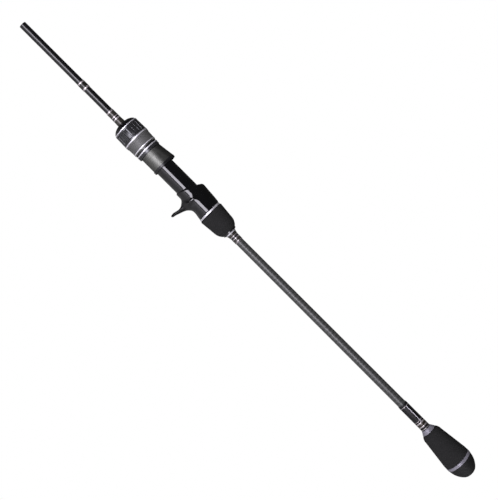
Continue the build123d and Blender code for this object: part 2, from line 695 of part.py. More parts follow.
# Foam grip: bored for the seat's spigot, tapered, then rounded down to the blank
rear_grip_end_r = blank_r(REAR_GRIP_END_X) + REAR_GRIP_END_BUILD
with BuildPart() as rear_seat_grip:
    with BuildSketch(Plane.XZ):
        with BuildLine():
            Polyline(
                (REAR_GRIP_END_X, rear_grip_end_r),
                (REAR_GRIP_END_X, blank_r(REAR_GRIP_END_X)),
                (GRIP_STATION_X, GRIP_STATION_R),
                (SPIGOT_END_X, blank_r(SPIGOT_END_X)),
                (SPIGOT_END_X, SEAT_SPIGOT_R),
                (REAR_GRIP_X, SEAT_SPIGOT_R),
                (REAR_GRIP_X, REAR_GRIP_FRONT_R - 0.8),
                (REAR_GRIP_X + 0.8, REAR_GRIP_FRONT_R),
                (REAR_GRIP_TAPER_X, REAR_GRIP_TAPER_R),
            )
            ThreePointArc(
                (REAR_GRIP_TAPER_X, REAR_GRIP_TAPER_R),
                (REAR_GRIP_END_X - 3.0, rear_grip_end_r + 2.45),
                (REAR_GRIP_END_X, rear_grip_end_r),
            )
        make_face()
    revolve(axis=Axis.X)
keep(rear_seat_grip, "rear_seat_grip")

# Black check against the foam, then the silver winding check
check_r = blank_r(WINDING_CHECK_X)
grip_check = turned(
    [
        (GRIP_CHECK_X, blank_r(GRIP_CHECK_X)),
        (WINDING_CHECK_X, check_r),
        (WINDING_CHECK_X, check_r + 2.1),
        (WINDING_CHECK_X - 0.5, rear_grip_end_r - 0.2),
        (GRIP_CHECK_X, rear_grip_end_r - 0.2),
    ]
)
keep(grip_check, "grip_check")
grip_winding_check = turned(wrapped(WINDING_CHECK_X, WINDING_CHECK_LENGTH, 1.9, 1.35))
keep(grip_winding_check, "grip_winding_check")


# ---- thread wraps --------------------------------------------------------------------------------------
def bands(start_x, pieces):
    """Outlines of the bands of one wrap, from (length, front build, rear build) in order from start_x."""
    outlines = []
    x = start_x
    for length, front_build, rear_build in pieces:
        outlines.append(wrapped(x, length, front_build, rear_build))
        x += length
    return outlines


front_bands = bands(
    FRONT_WRAP_X,
    [
        (FRONT_TRIM_LENGTH, TRIM_BUILD - 0.1, TRIM_BUILD),
        (FRONT_WRAP_LENGTH - 2 * FRONT_TRIM_LENGTH, WRAP_BUILD, WRAP_BUILD),
        (FRONT_TRIM_LENGTH, TRIM_BUILD, TRIM_BUILD - 0.1),
    ],
)
front_wrap_trims = turned(front_bands[0], front_bands[2])
keep(front_wrap_trims, "front_wrap_trims")
front_wrap_thread = turned(front_bands[1])
keep(front_wrap_thread, "front_wrap_thread")

seat_bands = bands(
    SEAT_WRAP_X,
    [
        (1.5, TRIM_BUILD - 0.1, TRIM_BUILD),
        (5.5, WRAP_BUILD, WRAP_BUILD),
        (1.0, TRIM_BUILD, TRIM_BUILD),
        (1.5, WRAP_BUILD, WRAP_BUILD),
        (1.5, TRIM_BUILD, TRIM_BUILD),
        (7.0, WRAP_BUILD, SEAT_WRAP_FLARE),
    ],
)
seat_wrap_trims = turned(seat_bands[0], seat_bands[2], seat_bands[4])
keep(seat_wrap_trims, "seat_wrap_trims")
seat_wrap_thread = turned(seat_bands[1], seat_bands[5])
keep(seat_wrap_thread, "seat_wrap_thread")
seat_wrap_black = turned(seat_bands[3])
keep(seat_wrap_black, "seat_wrap_black")

rear_bands = bands(
    REAR_WRAP_X,
    [
        (3.0, 1.2, 0.45),
        (0.6, 0.5, 0.5),
        (2.2, 0.35, WRAP_BUILD),
        (0.7, TRIM_BUILD, TRIM_BUILD),
        (2.9, WRAP_BUILD, WRAP_BUILD),
        (0.5, TRIM_BUILD, TRIM_BUILD),
        (0.6, WRAP_BUILD, WRAP_BUILD),
        (0.5, TRIM_BUILD, TRIM_BUILD - 0.2),
    ],
)
rear_wrap_thread = turned(rear_bands[0], rear_bands[4])
keep(rear_wrap_thread, "rear_wrap_thread")
rear_wrap_trims = turned(rear_bands[1], rear_bands[3], rear_bands[5], rear_bands[7])
keep(rear_wrap_trims, "rear_wrap_trims")
rear_wrap_black = turned(rear_bands[2], rear_bands[6])
keep(rear_wrap_black, "rear_wrap_black")

# Gloss black sleeve in front of the butt grip, with its rings and one gold band
label_bands = bands(LABEL_WRAP_X, [(length, build, build) for length, build in LABEL_SECTIONS])
label_sleeve = turned(label_bands[0], label_bands[2], label_bands[4], label_bands[8], label_bands[10])
keep(label_sleeve, "label_sleeve")
label_rings = turned(label_bands[1], label_bands[3], label_bands[5], label_bands[7], label_bands[9])
keep(label_rings, "label_rings")
label_gold_band = turned(label_bands[6])
keep(label_gold_band, "label_gold_band")


# ---- butt ----------------------------------------------------------------------------------------------
butt_check_outline = wrapped(BUTT_CHECK_X, BUTT_CHECK_LENGTH, LABEL_RING_BUILD + 0.1, BUTT_CHECK_BUILD)
butt_winding_check = turned(butt_check_outline)
keep(butt_winding_check, "butt_winding_check")

# Foam butt grip, a club that swells towards the ring
butt_spigot_x = BUTT_GRIP_END_X - CAP_SPIGOT_LENGTH
butt_grip_start_r = blank_r(BUTT_GRIP_X) + BUTT_GRIP_START_BUILD
butt_nose_x = BUTT_GRIP_X + 6.5
with BuildPart() as butt_grip:
    with BuildSketch(Plane.XZ):
        with BuildLine():
            ThreePointArc(
                (BUTT_GRIP_X, butt_grip_start_r),
                (BUTT_GRIP_X + 2.4, BUTT_GRIP_FRONT_R - 1.2),
                (butt_nose_x, BUTT_GRIP_FRONT_R),
            )
            Polyline(
                (butt_nose_x, BUTT_GRIP_FRONT_R),
                (BUTT_GRIP_END_X - 4, BUTT_GRIP_R - 0.15),
                (BUTT_GRIP_END_X - 0.4, BUTT_GRIP_R),
                (BUTT_GRIP_END_X, BUTT_GRIP_R - 0.4),
                (BUTT_GRIP_END_X, CAP_SPIGOT_R),
                (butt_spigot_x, CAP_SPIGOT_R),
                (butt_spigot_x, blank_r(butt_spigot_x)),
                (BUTT_GRIP_X, blank_r(BUTT_GRIP_X)),
                (BUTT_GRIP_X, butt_grip_start_r),
            )
        make_face()
    revolve(axis=Axis.X)
keep(butt_grip, "butt_grip")

butt_ring = turned(plain_ring(BUTT_GRIP_END_X, BUTT_RING_LENGTH, CAP_SPIGOT_R, BUTT_GRIP_R + 0.1, 0.3))
keep(butt_ring, "butt_ring")

# Domed cap, with a spigot that carries the ring and is bored for the end of the blank
with BuildPart() as butt_cap:
    with BuildSketch(Plane.XZ):
        with BuildLine():
            Spline(
                (BUTT_CAP_X, BUTT_GRIP_R - 0.1),
                (BUTT_CAP_X + 0.54 * BUTT_CAP_LENGTH, 0.82 * BUTT_GRIP_R),
                (BUTT_CAP_X + 0.8 * BUTT_CAP_LENGTH, 0.61 * BUTT_GRIP_R),
                (BUTT_END_X, 0),
                tangents=((1, -0.12), (0, -1)),
            )
            Polyline(
                (BUTT_END_X, 0),
                (BUTT_STATION_X, 0),
                (BUTT_STATION_X, BUTT_STATION_R),
                (butt_spigot_x, blank_r(butt_spigot_x)),
                (butt_spigot_x, CAP_SPIGOT_R),
                (BUTT_CAP_X, CAP_SPIGOT_R),
                (BUTT_CAP_X, BUTT_GRIP_R - 0.1),
            )
        make_face()
    revolve(axis=Axis.X)
keep(butt_cap, "butt_cap")
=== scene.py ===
# %% [markdown]
# # A trigger casting rod's butt section
# The rod lies along X: its tip end points to -X, its butt to +X, the reel would stand on the +Z side and
# the trigger hangs on the -Z side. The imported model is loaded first. It is a fixed frame, so every place
# and size below is read from its nodes. Here each turned piece gets its real surface: cloth under clear
# coat, thread under epoxy, ground foam, moulded plastic, turned metal.

import bmesh
import bpy
import json
import numpy as np
from math import cos, hypot, pi, radians, sin
from mathutils import Matrix, Vector
from mathutils.bvhtree import BVHTree
from mathutils.kdtree import KDTree


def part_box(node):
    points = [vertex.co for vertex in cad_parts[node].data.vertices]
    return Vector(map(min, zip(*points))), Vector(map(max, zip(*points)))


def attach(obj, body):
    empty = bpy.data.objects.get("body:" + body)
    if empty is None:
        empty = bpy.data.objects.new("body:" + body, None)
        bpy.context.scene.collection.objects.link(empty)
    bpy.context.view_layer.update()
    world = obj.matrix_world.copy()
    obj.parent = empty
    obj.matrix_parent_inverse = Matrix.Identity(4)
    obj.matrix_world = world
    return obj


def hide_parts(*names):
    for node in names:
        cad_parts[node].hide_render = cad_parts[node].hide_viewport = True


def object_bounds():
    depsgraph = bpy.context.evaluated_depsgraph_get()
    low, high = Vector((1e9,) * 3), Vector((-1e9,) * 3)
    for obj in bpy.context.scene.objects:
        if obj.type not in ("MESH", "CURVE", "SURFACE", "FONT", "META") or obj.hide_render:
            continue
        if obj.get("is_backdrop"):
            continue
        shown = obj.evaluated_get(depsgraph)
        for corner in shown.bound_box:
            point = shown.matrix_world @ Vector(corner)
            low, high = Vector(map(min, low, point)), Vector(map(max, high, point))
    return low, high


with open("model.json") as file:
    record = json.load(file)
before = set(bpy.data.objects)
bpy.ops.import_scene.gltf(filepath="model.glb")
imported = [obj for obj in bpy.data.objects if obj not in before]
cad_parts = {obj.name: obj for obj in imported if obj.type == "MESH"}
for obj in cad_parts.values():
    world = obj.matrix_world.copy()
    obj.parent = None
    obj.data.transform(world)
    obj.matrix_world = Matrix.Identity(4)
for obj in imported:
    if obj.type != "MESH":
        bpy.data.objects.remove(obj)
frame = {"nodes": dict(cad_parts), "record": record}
cad_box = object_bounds()
MM = 0.001

# %% [markdown]
# ## Reading sizes off the frame
# A turned node's corners lie on circles round the rod's axis. The list of those circles is its outline, so
# a smoother copy can be made without writing a single size twice.


# %% Where a node starts and ends, and the circles it is made of
def span(node):
    """First x, last x and largest distance from the rod's axis of a CAD node, in metres."""
    low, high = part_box(node)
    return low.x, high.x, max(abs(low.y), high.y)


def circles(node, faces_only=True):
    """{x: (smallest radius, largest radius)} of a turned CAD node's corners, in metres.

    With faces_only, only corners of faces that look along the rod count, so each band gives its two ends."""
    item = frame["nodes"][node]
    places = [item.matrix_world @ vertex.co for vertex in item.data.vertices]
    kept = set(range(len(places)))
    if faces_only:
        level = [p for p in item.data.polygons if abs(p.normal.x) > 0.99]
        kept = {corner for p in level for corner in p.vertices}
    found = {}
    for i in sorted(kept):
        x, r = round(places[i].x, 6), hypot(places[i].y, places[i].z)
        low, high = found.get(x, (r, r))
        found[x] = (min(low, r), max(high, r))
    return dict(sorted(found.items()))


for name in ("blank", "label_rings"):
    print(name, "has", len(circles(name)), "circles, x = %.4f to %.4f, radius up to %.5f" % span(name))

# %% [markdown]
# ## Turned shapes
# Nearly everything on a rod is round, because it is made on a lathe: the foam is ground while it spins,
# the rings are turned, the thread is wound. `lathe` does the same to an outline. `rounded` breaks its
# corners first, since no real edge is a perfect corner and the small rounding is what catches the light.


# %% A lathe
SEGMENTS = 96


def rounded(outline, radius, steps=3):
    """The closed outline of (x, radius) points with each corner rounded by up to radius."""
    soft = []
    for i, corner in enumerate(outline):
        here = Vector(corner)
        for end in (Vector(outline[i - 1]), Vector(outline[(i + 1) % len(outline)])):
            reach = min(radius, (end - here).length / 2)
            soft.append((here, here + (end - here).normalized() * reach))
    points = []
    for i in range(0, len(soft), 2):
        here, start = soft[i]
        end = soft[i + 1][1]
        for step in range(steps + 1):
            t = step / steps
            points.append((start * (1 - t) ** 2 + here * 2 * t * (1 - t) + end * t * t)[:])
    return points


def lathe(name, outlines, segments=SEGMENTS, sharp=35):
    """Rings about the rod's axis, one for each closed outline of (x, radius) points in metres."""
    build = bmesh.new()
    for outline in outlines:
        turns = []
        for k in range(segments):
            angle = 2 * pi * k / segments
            turns.append([build.verts.new((x, r * cos(angle), r * sin(angle))) for x, r in outline])
        for k in range(segments):
            here, after = turns[k - 1], turns[k]
            for i in range(len(outline)):
                build.faces.new((here[i - 1], here[i], after[i], after[i - 1]))
    bmesh.ops.recalc_face_normals(build, faces=build.faces)
    return mesh_object(name, build, sharp)


def mesh_object(name, build, sharp=35):
    """A bmesh as a new object at the origin, smooth where its faces meet at less than sharp degrees."""
    mesh = bpy.data.meshes.new(name)
    build.to_mesh(mesh)
    build.free()
    mesh.shade_smooth()
    mesh.set_sharp_from_angle(angle=radians(sharp))
    piece = bpy.data.objects.new(name, mesh)
    bpy.context.scene.collection.objects.link(piece)
    return piece


def dress(piece, body, slot, paint, *nodes):
    """Gives a new piece its paint and puts it on a body in place of CAD nodes. Its slot is not used."""
    piece.data.materials.clear()
    piece.data.materials.append(paint)
    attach(piece, body)
    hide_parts(*nodes)


def paint_node(paint, *nodes):
    """Gives CAD nodes a better paint."""
    for node in nodes:
        item = frame["nodes"][node]
        item.data.materials.clear()
        item.data.materials.append(paint)


print("turned pieces have", SEGMENTS, "segments")

# %% [markdown]
# ## Shader building blocks
# Six effects are shared by the materials, so each is a node group. A group only works out colours, masks
# and heights; the shader itself stays in the material.


# %% Node helpers
def add(tree, kind, sockets=(), **settings):
    """A new shader node. Each of sockets takes a constant, or the socket that feeds it."""
    node = tree.nodes.new("ShaderNode" + kind)
    for key, value in settings.items():
        setattr(node, key, value)
    for key, value in dict(sockets).items():
        if isinstance(value, bpy.types.NodeSocket):
            tree.links.new(value, node.inputs[key])
        else:
            node.inputs[key].default_value = value
    return node


def maths(tree, operation, *values):
    """The result of one maths node."""
    return add(tree, "Math", enumerate(values), operation=operation).outputs[0]


def mix_colour(tree, share, first, second):
    """first where share is 0 and second where it is 1."""
    node = add(tree, "Mix", data_type="RGBA")
    for key, value in (("Factor_Float", share), ("A_Color", first), ("B_Color", second)):
        socket = next(s for s in node.inputs if s.identifier == key)
        if isinstance(value, bpy.types.NodeSocket):
            tree.links.new(value, socket)
        else:
            socket.default_value = value if key == "Factor_Float" else (*value[:3], 1)
    return next(s for s in node.outputs if s.identifier == "Result_Color")


def new_group(name, inputs, outputs):
    """A shader group with float inputs {name: default} and float outputs."""
    tree = bpy.data.node_groups.new(name, "ShaderNodeTree")
    for key, value in inputs.items():
        tree.interface.new_socket(key, in_out="INPUT", socket_type="NodeSocketFloat").default_value = value
    for key in outputs:
        tree.interface.new_socket(key, in_out="OUTPUT", socket_type="NodeSocketFloat")
    return tree, tree.nodes.new("NodeGroupInput").outputs, tree.nodes.new("NodeGroupOutput").inputs


def use(tree, group, **sockets):
    """The outputs of one group used in a tree; underscores in the names stand for spaces."""
    node = add(tree, "Group", node_tree=group)
    for key, value in sockets.items():
        socket = node.inputs[key.replace("_", " ")]
        if isinstance(value, bpy.types.NodeSocket):
            tree.links.new(value, socket)
        else:
            socket.default_value = value
    return node.outputs


# %% [markdown]
# ### Place on the rod
# Distance along the rod in metres and the angle round it in turns, with the seam on the trigger side.

# %% Group: rod place
rod_place, ins, outs = new_group("rod_place", {}, ("Along", "Around", "Radius"))
place = add(rod_place, "SeparateXYZ", {0: add(rod_place, "TexCoord").outputs["Object"]}).outputs
rod_place.links.new(place["X"], outs["Along"])
turned_by = maths(rod_place, "ARCTAN2", place["Y"], place["Z"])
rod_place.links.new(maths(rod_place, "MULTIPLY_ADD", turned_by, 1 / (2 * pi), 0.5), outs["Around"])
y_squared = maths(rod_place, "MULTIPLY", place["Y"], place["Y"])
radius_squared = maths(rod_place, "MULTIPLY_ADD", place["Z"], place["Z"], y_squared)
rod_place.links.new(maths(rod_place, "SQRT", radius_squared), outs["Radius"])
print("group", rod_place.name)

# %% [markdown]
# ### Wound thread
# Rod thread is about 0.2 mm thick and is wound turn against turn. Each turn shows as a fine ridge under
# the epoxy. Glint is a mask, uneven from turn to turn and zero in the grooves, for painted glints.

# %% Group: thread turns
thread_turns, ins, outs = new_group("thread_turns", {"Pitch": 0.00026}, ("Height", "Glint"))
at = use(thread_turns, rod_place)
turn = maths(thread_turns, "DIVIDE", at["Along"], ins["Pitch"])
wound_so_far = maths(thread_turns, "ADD", turn, at["Around"])
phase = maths(thread_turns, "FRACT", wound_so_far)
ridge = maths(thread_turns, "SINE", maths(thread_turns, "MULTIPLY", phase, pi))
thread_turns.links.new(ridge, outs["Height"])
strand = add(thread_turns, "CombineXYZ", {
    0: maths(thread_turns, "FLOOR", wound_so_far),
    1: maths(thread_turns, "MULTIPLY", at["Around"], 40.0)})
glint = add(thread_turns, "TexNoise", {"Vector": strand.outputs[0], "Scale": 1.7, "Detail": 2.0}).outputs[0]
thread_turns.links.new(maths(thread_turns, "MULTIPLY", glint, ridge), outs["Glint"])
print("group", thread_turns.name)

# %% [markdown]
# ### Crossed carbon tape
# The rear blank is bound with two tapes wound in opposite directions. Where they cross, diamonds appear,
# and each tape has its own fine lengthways grain.

# %% Group: crossed tape
crossed_tape, ins, outs = new_group(
    "crossed_tape", {"Diamond Length": 0.0087, "Grain": 0.0011}, ("Tone", "Height"))
at = use(crossed_tape, rod_place)
lengths = maths(crossed_tape, "DIVIDE", at["Along"], ins["Diamond Length"])
waves = []
for way in ("ADD", "SUBTRACT"):
    lane = maths(crossed_tape, way, lengths, at["Around"])
    waves.append(maths(crossed_tape, "SINE", maths(crossed_tape, "MULTIPLY", lane, 2 * pi)))
diamonds = maths(crossed_tape, "MULTIPLY_ADD", maths(crossed_tape, "MULTIPLY", *waves), 0.5, 0.5)
grain_lane = maths(crossed_tape, "DIVIDE", at["Along"], ins["Grain"])
grain = maths(crossed_tape, "SINE", maths(crossed_tape, "MULTIPLY", grain_lane, 2 * pi))
row = maths(crossed_tape, "SINE", maths(crossed_tape, "MULTIPLY", at["Around"], 2 * pi * 26))
cloth = maths(crossed_tape, "MULTIPLY", grain, row)
crossed_tape.links.new(maths(crossed_tape, "MULTIPLY_ADD", cloth, 0.22, diamonds), outs["Tone"])
crossed_tape.links.new(cloth, outs["Height"])
print("group", crossed_tape.name)

# %% [markdown]
# ### Foam cells
# Ground closed cell foam is a field of cut bubbles, each a third of a millimetre across, with soft larger
# patches where the grinder pressed harder.

# %% Group: foam cells
foam_cells, ins, outs = new_group("foam_cells", {"Cells per metre": 2600.0}, ("Height", "Patch"))
spot = add(foam_cells, "TexCoord").outputs["Object"]
bubbles = add(foam_cells, "TexVoronoi", {"Vector": spot, "Scale": ins["Cells per metre"]}).outputs["Distance"]
foam_cells.links.new(bubbles, outs["Height"])
patches = add(foam_cells, "TexNoise", {"Vector": spot, "Scale": 180.0, "Detail": 3.0}).outputs[0]
foam_cells.links.new(patches, outs["Patch"])
print("group", foam_cells.name)

# %% [markdown]
# ### Turned lines and handling
# A lathe leaves fine rings on metal. Handling leaves a haze of faint smudges on anything glossy.

# %% Groups: turned lines, handling
turned_lines, ins, outs = new_group("turned_lines", {"Lines per metre": 9000.0}, ("Height",))
at = use(turned_lines, rod_place)
across = add(turned_lines, "CombineXYZ", {
    0: maths(turned_lines, "MULTIPLY", at["Along"], ins["Lines per metre"]),
    1: maths(turned_lines, "MULTIPLY", at["Radius"], ins["Lines per metre"])})
lines = add(turned_lines, "TexNoise", {"Vector": across.outputs[0], "Scale": 1.0, "Detail": 1.0})
turned_lines.links.new(lines.outputs[0], outs["Height"])

handling, ins, outs = new_group("handling", {"Size per metre": 90.0}, ("Haze",))
spot = add(handling, "TexCoord").outputs["Object"]
smudge = add(handling, "TexNoise", {"Vector": spot, "Scale": ins["Size per metre"], "Detail": 6.0})
rise = add(handling, "MapRange", {"Value": smudge.outputs[0], "From Min": 0.42, "From Max": 0.72})
handling.links.new(rise.outputs[0], outs["Haze"])
print("groups", turned_lines.name, handling.name)

# %% [markdown]
# ## Camera
# The rod is seen from its left side, with the picture turned so that the tip points up and to the left.
# A camera of about 70 mm stands just under a metre away, square to the rod, level with a point behind the
# seat. Shifting the lens, and not turning the camera, slides the rod to its place in the frame.

# %% Camera
CAMERA_DISTANCE = 0.977
CAMERA_X = 0.0745
VIEW_X = 0.10007
VIEW_Z = 0.00077
SENSOR = 36.0
FRAME_HEIGHT = 0.5003
camera_data = bpy.data.cameras.new("camera")
camera = bpy.data.objects.new("camera", camera_data)
bpy.context.scene.collection.objects.link(camera)
camera_data.sensor_width = SENSOR
camera_data.lens = SENSOR * CAMERA_DISTANCE / FRAME_HEIGHT
right = Vector((1, 0, 1)).normalized()
up = Vector((-1, 0, 1)).normalized()
turn = Matrix((right, up, right.cross(up))).transposed().to_4x4()
camera.matrix_world = Matrix.Translation((CAMERA_X, -CAMERA_DISTANCE, 0)) @ turn
look = Vector((VIEW_X - CAMERA_X, 0, VIEW_Z))
camera_data.shift_x = look.dot(right) / FRAME_HEIGHT
camera_data.shift_y = look.dot(up) / FRAME_HEIGHT
camera_data.clip_end = 20
bpy.context.scene.camera = camera
print("lens %.1f mm, shift %.3f %.3f" % (camera_data.lens, camera_data.shift_x, camera_data.shift_y))

# %% [markdown]
# ## Light
# Gloss black shows only what it mirrors, so the lights are shapes to be mirrored. The main one is a long
# strip on the camera's side, a little towards the trigger: it gives the narrow bright line along the
# barrel and the blank. A second one far below gives the grey under that line. The ones above and behind
# only brighten matte surfaces: a mirror image of them would turn the black top edges grey.

# %% Softboxes, floor and room
bpy.context.scene.view_settings.view_transform = "Standard"


def softbox(name, centre, target, size_along, size_across, power, colour=(1, 1, 1), mirrored=True):
    """A rectangular area light at centre, its long side along X, that faces target."""
    data = bpy.data.lights.new(name, "AREA")
    data.shape = "RECTANGLE"
    data.size = size_along
    data.size_y = size_across
    data.energy = power
    data.color = colour
    light = bpy.data.objects.new(name, data)
    bpy.context.scene.collection.objects.link(light)
    facing = (Vector(centre) - Vector(target)).normalized()
    level = Vector((0, 0, 1)) if abs(facing.x) > 0.9 else Vector((1, 0, 0))
    across = facing.cross(level).normalized()
    along = across.cross(facing)
    light.matrix_world = Matrix.Translation(centre) @ Matrix((along, across, facing)).transposed().to_4x4()
    light.visible_camera = False
    light.visible_glossy = mirrored
    return light


MIDDLE = (0.1, 0, 0)
LAVENDER = (0.93, 0.9, 1.0)
softbox("key_strip", (-0.08, -1.25, -0.29), (-0.08, 0, 0), 1.5, 0.60, 26.0, LAVENDER)
softbox("under_fill", (0.2, -0.6, -1.3), (0.2, 0, 0), 1.7, 1.2, 7.2)
softbox("end_fill", (1.9, -0.35, -0.25), MIDDLE, 0.9, 0.9, 6)
softbox("top_fill", (0.1, -0.6, 1.5), MIDDLE, 2.0, 0.8, 10, mirrored=False)
softbox("back_fill", (0.1, 1.5, 0.5), MIDDLE, 2.4, 1.2, 6, mirrored=False)

world = bpy.data.worlds.new("room")
bpy.context.scene.world = world
world.use_nodes = True
room = world.node_tree
room.nodes.clear()
ROOM_LEVEL = 0.05
room_out = room.nodes.new("ShaderNodeOutputWorld")
room_mix = room.nodes.new("ShaderNodeMixShader")
room_seen = room.nodes.new("ShaderNodeBackground")
room_mirrored = room.nodes.new("ShaderNodeBackground")
room_path = room.nodes.new("ShaderNodeLightPath")
room_seen.inputs["Color"].default_value = (1, 1, 1, 1)
room_mirrored.inputs["Color"].default_value = (ROOM_LEVEL, ROOM_LEVEL, ROOM_LEVEL, 1)
room.links.new(room_path.outputs["Is Camera Ray"], room_mix.inputs["Fac"])
room.links.new(room_mirrored.outputs[0], room_mix.inputs[1])
room.links.new(room_seen.outputs[0], room_mix.inputs[2])
room.links.new(room_mix.outputs[0], room_out.inputs["Surface"])

FLOOR_Z = -0.75
FLOOR_HALF = 12.0
floor_mesh = bpy.data.meshes.new("floor")
corners = [(-1, -1), (1, -1), (1, 1), (-1, 1)]
floor_mesh.from_pydata([(x * FLOOR_HALF, y * FLOOR_HALF, FLOOR_Z) for x, y in corners], [], [(0, 1, 2, 3)])
floor = bpy.data.objects.new("floor", floor_mesh)
bpy.context.scene.collection.objects.link(floor)
floor_paint = bpy.data.materials.new("pale_floor")
floor_paint.use_nodes = True
floor_tree = floor_paint.node_tree
floor_tree.nodes.clear()
floor_out = floor_tree.nodes.new("ShaderNodeOutputMaterial")
floor_mix = floor_tree.nodes.new("ShaderNodeMixShader")
floor_seen = floor_tree.nodes.new("ShaderNodeEmission")
floor_lit = floor_tree.nodes.new("ShaderNodeBsdfDiffuse")
floor_path = floor_tree.nodes.new("ShaderNodeLightPath")
floor_lit.inputs["Color"].default_value = (0.8, 0.8, 0.8, 1)
floor_tree.links.new(floor_path.outputs["Is Camera Ray"], floor_mix.inputs["Fac"])
floor_tree.links.new(floor_lit.outputs[0], floor_mix.inputs[1])
floor_tree.links.new(floor_seen.outputs[0], floor_mix.inputs[2])
floor_tree.links.new(floor_mix.outputs[0], floor_out.inputs["Surface"])
floor_mesh.materials.append(floor_paint)
floor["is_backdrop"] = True

# %% [markdown]
# ## Materials
# `new_paint` makes a material with one Principled shader. Each material then adds its own layers: what the
# surface is made of, how it was made, and how it was handled.


# %% Starting a material
def new_paint(name, colour, roughness, metallic=0.0, coat=0.0, coat_roughness=0.03):
    """A material, its node tree and its Principled shader."""
    paint = bpy.data.materials.new(name)
    paint.use_nodes = True
    shader = paint.node_tree.nodes["Principled BSDF"]
    shader.inputs["Base Color"].default_value = (*colour, 1)
    shader.inputs["Roughness"].default_value = roughness
    shader.inputs["Metallic"].default_value = metallic
    shader.inputs["Coat Weight"].default_value = coat
    shader.inputs["Coat Roughness"].default_value = coat_roughness
    return paint, paint.node_tree, shader


def bump(tree, shader, height, depth):
    """Raises the surface by up to depth metres where height is 1."""
    node = add(tree, "Bump", {"Height": height, "Distance": depth, "Strength": 1.0})
    tree.links.new(node.outputs[0], shader.inputs["Normal"])


def mixed_base(tree, shader, share, first, second):
    """Base colour between first and second, by share."""
    tree.links.new(mix_colour(tree, share, first, second), shader.inputs["Base Color"])


def hazed_roughness(tree, shader, clean, hazed, size=90.0):
    """Roughness between clean and hazed, by the handling haze."""
    haze = use(tree, handling, Size_per_metre=size)["Haze"]
    tree.links.new(maths(tree, "MULTIPLY_ADD", haze, hazed - clean, clean), shader.inputs["Roughness"])


# %% [markdown]
# ### Gloss black seat
# The seat is injection moulded and sprayed with gloss lacquer. The lacquer is never quite flat: a faint
# orange peel makes the bright line waver, and handling dulls it in patches. Fingers have rubbed the
# trigger satin.

# %% Gloss black, moulded black
GLOSS_END, SATIN_START = -0.0135, -0.0165
gloss_black, tree, shader = new_paint("gloss_black_lacquer", (0.0022, 0.0022, 0.0026), 0.09, coat=0.35)
spot = add(tree, "TexCoord").outputs["Object"]
depth = add(tree, "SeparateXYZ", {0: spot}).outputs["Z"]
worn = add(tree, "MapRange", {"Value": depth, "From Min": GLOSS_END, "From Max": SATIN_START}).outputs[0]
haze = use(tree, handling)["Haze"]
lacquer = maths(tree, "MULTIPLY_ADD", haze, 0.09, 0.07)
tree.links.new(maths(tree, "MULTIPLY_ADD", worn, 0.26, lacquer), shader.inputs["Roughness"])
tree.links.new(maths(tree, "MULTIPLY_ADD", worn, -0.35, 0.35), shader.inputs["Coat Weight"])
tree.links.new(maths(tree, "MULTIPLY_ADD", worn, -0.22, 0.5), shader.inputs["Specular IOR Level"])
peel = add(tree, "TexNoise", {"Vector": spot, "Scale": 520.0, "Detail": 2.0}).outputs[0]
bump(tree, shader, peel, 0.000012)

moulded_black, tree, shader = new_paint("moulded_black", (0.006, 0.006, 0.0066), 0.38)
hazed_roughness(tree, shader, 0.3, 0.45, 140.0)
spot = add(tree, "TexCoord").outputs["Object"]
grain = add(tree, "TexNoise", {"Vector": spot, "Scale": 2400.0, "Detail": 2.0}).outputs[0]
bump(tree, shader, grain, 0.00002)
print("materials:", gloss_black.name, moulded_black.name)

# %% [markdown]
# ### Metals
# The hood's shell is pressed and plated in gunmetal: its fine rings run round the seat. The trim rings are
# turned and polished. The nut's sleeves are anodised, one in dark satin and one in plain graphite.

# %% Metals
gunmetal, tree, shader = new_paint("gunmetal_plating", (0.15, 0.152, 0.14), 0.3, metallic=1.0)
grooves = use(tree, turned_lines, Lines_per_metre=5200.0)["Height"]
bump(tree, shader, grooves, 0.000006)
hazed_roughness(tree, shader, 0.48, 0.58)
tint = add(tree, "TexNoise", {"Vector": add(tree, "TexCoord").outputs["Object"], "Scale": 60.0}).outputs[0]
mixed_base(tree, shader, tint, (0.114, 0.116, 0.106), (0.157, 0.16, 0.146))

silver, tree, shader = new_paint("polished_silver", (0.72, 0.71, 0.74), 0.4, metallic=0.7)
grooves = use(tree, turned_lines, Lines_per_metre=11000.0)["Height"]
bump(tree, shader, grooves, 0.000004)
hazed_roughness(tree, shader, 0.4, 0.54, 240.0)

satin_dark, tree, shader = new_paint("dark_satin_anodised", (0.06, 0.061, 0.063), 0.26, metallic=0.75)
spot = add(tree, "TexCoord").outputs["Object"]
blast = add(tree, "TexNoise", {"Vector": spot, "Scale": 3800.0, "Detail": 2.0}).outputs[0]
bump(tree, shader, blast, 0.000005)
hazed_roughness(tree, shader, 0.22, 0.36, 160.0)

graphite, tree, shader = new_paint("graphite_anodised", (0.105, 0.105, 0.1), 0.5, metallic=0.5)
grooves = use(tree, turned_lines, Lines_per_metre=7000.0)["Height"]
bump(tree, shader, grooves, 0.000012)
# Painted shade: the base colour is darker in the low parts of the turned lines and lighter on their tops.
shade = maths(tree, "MULTIPLY_ADD", grooves, 0.5, 0.2)
mixed_base(tree, shader, shade, (0.077, 0.077, 0.075), (0.139, 0.139, 0.134))
hazed_roughness(tree, shader, 0.6, 0.72, 160.0)

check_silver, tree, shader = new_paint("turned_check_silver", (0.26, 0.252, 0.29), 0.34, metallic=0.5)
grooves = use(tree, turned_lines, Lines_per_metre=9000.0)["Height"]
bump(tree, shader, grooves, 0.000005)
hazed_roughness(tree, shader, 0.24, 0.38, 240.0)
print("materials:", gunmetal.name, silver.name, check_silver.name, satin_dark.name, graphite.name)

# %% [markdown]
# ### Foam and rubber
# The grips are EVA foam, glued on and ground round on the blank: matte, with open cells and no bright
# line. The butt cap is moulded in a slightly smoother rubber.

